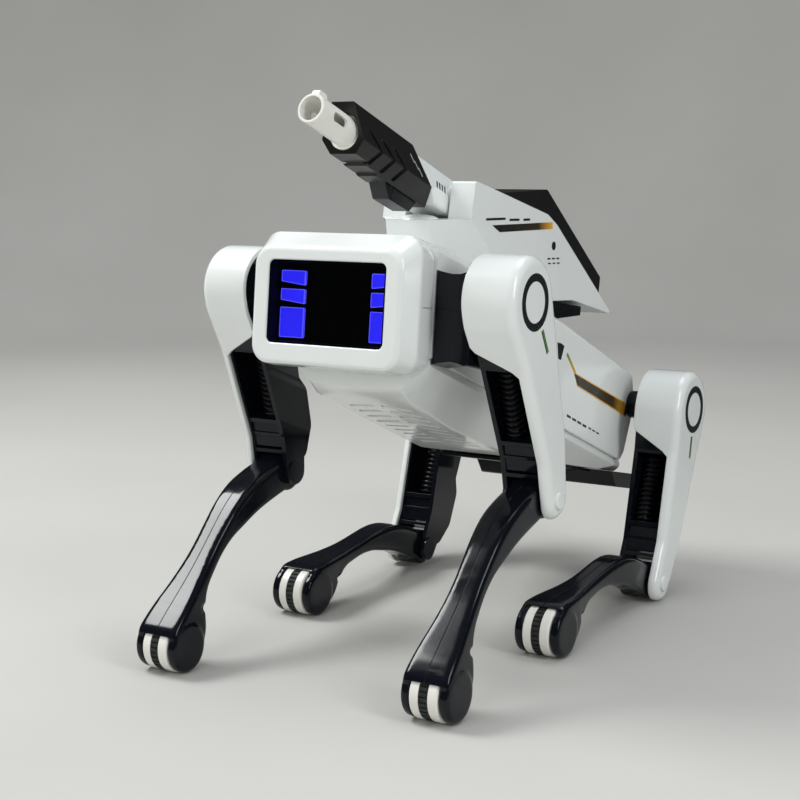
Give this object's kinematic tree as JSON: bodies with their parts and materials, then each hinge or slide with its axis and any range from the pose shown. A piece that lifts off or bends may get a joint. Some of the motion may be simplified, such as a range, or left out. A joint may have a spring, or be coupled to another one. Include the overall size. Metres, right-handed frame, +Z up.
{
  "type": "robot dog toy",
  "caption": "Walking robot dog toy: white pitched body, screen face with block eyes, jointed legs ending in small wheels, and a ball launcher on its back",
  "frame": {"origin": "middle of the footprint on the floor, under the centre of the overall box", "axes": "+X is the dog's left, the dog looks along -Y, +Z is up"},
  "size_m": [0.178, 0.311, 0.2739],
  "materials": {
    "white_shell": "gloss",
    "black_gloss": "gloss",
    "black_satin": "satin",
    "warm_white": "satin",
    "dark_cover": "satin",
    "window_black": "polished",
    "blue_light": "lit",
    "tread_rubber": "ribbed",
    "steel_pin": "brushed",
    "circuit": "solder mask",
    "cell_wrap": "shrink wrap",
    "motor_case": "plain"
  },
  "bodies": {
    "trunk": {"face_bezel": "white_shell", "display_window": "window_black", "eye_lights": "blue_light", "display_board": "circuit", "head_shell": "white_shell", "back_shell": "white_shell", "belly_shell": "white_shell", "chassis_tray": "black_satin", "hip_housings": "black_satin", "hip_motors": "motor_case", "battery_pack": "cell_wrap", "battery_door": "black_satin", "main_board": "circuit", "body_screws": "steel_pin", "launcher_shell": "white_shell", "launcher_bracket": "black_satin"},
    "barrel": {"barrel_shroud": "dark_cover", "muzzle": "warm_white", "underbarrel_block": "black_satin", "barrel_housing": "white_shell", "barrel_pin": "steel_pin"},
    "lid": {"hopper_cover": "dark_cover"},
    "switch": {"power_switch": "black_satin"},
    "fl_thigh": {"fl_thigh_shell": "white_shell", "fl_thigh_frame": "black_satin", "fl_thigh_spring": "black_satin", "fl_hip_shaft": "steel_pin"},
    "fl_shank": {"fl_shank_outer": "black_gloss", "fl_shank_inner": "black_gloss", "fl_shank_pins": "steel_pin"},
    "fl_wheel": {"fl_foot_wheel": "warm_white", "fl_foot_tread": "tread_rubber"},
    "fr_thigh": {"fr_thigh_shell": "white_shell", "fr_thigh_frame": "black_satin", "fr_thigh_spring": "black_satin", "fr_hip_shaft": "steel_pin"},
    "fr_shank": {"fr_shank_outer": "black_gloss", "fr_shank_inner": "black_gloss", "fr_shank_pins": "steel_pin"},
    "fr_wheel": {"fr_foot_wheel": "warm_white", "fr_foot_tread": "tread_rubber"},
    "rl_thigh": {"rl_thigh_shell": "white_shell", "rl_thigh_frame": "black_satin", "rl_thigh_spring": "black_satin", "rl_hip_shaft": "steel_pin"},
    "rl_shank": {"rl_shank_outer": "black_gloss", "rl_shank_inner": "black_gloss", "rl_shank_pins": "steel_pin"},
    "rl_wheel": {"rl_foot_wheel": "warm_white", "rl_foot_tread": "tread_rubber"},
    "rr_thigh": {"rr_thigh_shell": "white_shell", "rr_thigh_frame": "black_satin", "rr_thigh_spring": "black_satin", "rr_hip_shaft": "steel_pin"},
    "rr_shank": {"rr_shank_outer": "black_gloss", "rr_shank_inner": "black_gloss", "rr_shank_pins": "steel_pin"},
    "rr_wheel": {"rr_foot_wheel": "warm_white", "rr_foot_tread": "tread_rubber"}
  },
  "joints": [
    {"name": "fl_hip", "type": "hinge", "parent": "trunk", "child": "fl_thigh", "pos_m": [0.0608, -0.07378, 0.179], "axis": [1, 0, 0], "range_deg": [-20, 20], "stiffness_Nm_per_rad": 3},
    {"name": "fl_knee", "type": "hinge", "parent": "fl_thigh", "child": "fl_shank", "pos_m": [0.0728, -0.04832, 0.08333], "axis": [1, 0, 0], "range_deg": [-15, 20], "stiffness_Nm_per_rad": 3},
    {"name": "fl_wheel_spin", "type": "hinge", "parent": "fl_shank", "child": "fl_wheel", "pos_m": [0.0728, -0.1377, 0.0124], "axis": [1, 0, 0], "continuous": true},
    {"name": "fr_hip", "type": "hinge", "parent": "trunk", "child": "fr_thigh", "pos_m": [-0.0608, -0.07378, 0.179], "axis": [1, 0, 0], "range_deg": [-20, 20], "stiffness_Nm_per_rad": 3},
    {"name": "fr_knee", "type": "hinge", "parent": "fr_thigh", "child": "fr_shank", "pos_m": [-0.0728, -0.05286, 0.08224], "axis": [1, 0, 0], "range_deg": [-15, 20], "stiffness_Nm_per_rad": 3},
    {"name": "fr_wheel_spin", "type": "hinge", "parent": "fr_shank", "child": "fr_wheel", "pos_m": [-0.0728, -0.14309, 0.0124], "axis": [1, 0, 0], "continuous": true},
    {"name": "rl_hip", "type": "hinge", "parent": "trunk", "child": "rl_thigh", "pos_m": [0.0608, 0.12389, 0.10165], "axis": [1, 0, 0], "range_deg": [-12, 25], "stiffness_Nm_per_rad": 3},
    {"name": "rl_knee", "type": "hinge", "parent": "rl_thigh", "child": "rl_shank", "pos_m": [0.0728, 0.0833, 0.01135], "axis": [1, 0, 0], "range_deg": [-15, 20], "stiffness_Nm_per_rad": 3},
    {"name": "rl_wheel_spin", "type": "hinge", "parent": "rl_shank", "child": "rl_wheel", "pos_m": [0.0728, -0.03079, 0.0124], "axis": [1, 0, 0], "continuous": true},
    {"name": "rr_hip", "type": "hinge", "parent": "trunk", "child": "rr_thigh", "pos_m": [-0.0608, 0.12389, 0.10165], "axis": [1, 0, 0], "range_deg": [-12, 25], "stiffness_Nm_per_rad": 3},
    {"name": "rr_knee", "type": "hinge", "parent": "rr_thigh", "child": "rr_shank", "pos_m": [-0.0728, 0.08174, 0.01207], "axis": [1, 0, 0], "range_deg": [-15, 20], "stiffness_Nm_per_rad": 3},
    {"name": "rr_wheel_spin", "type": "hinge", "parent": "rr_shank", "child": "rr_wheel", "pos_m": [-0.0728, -0.03236, 0.0124], "axis": [1, 0, 0], "continuous": true},
    {"name": "barrel_pitch", "type": "hinge", "parent": "trunk", "child": "barrel", "pos_m": [0, -0.00528, 0.22093], "axis": [1, 0, 0], "range_deg": [-8, 3]},
    {"name": "lid_hinge", "type": "hinge", "parent": "trunk", "child": "lid", "pos_m": [0, 0.02022, 0.2246], "axis": [1, 0, 0], "range_deg": [0, 65]},
    {"name": "power_slide", "type": "slide", "parent": "trunk", "child": "switch", "axis": [0, 0.9744, -0.225], "range_m": [-0.002, 0.002]}
  ]
}
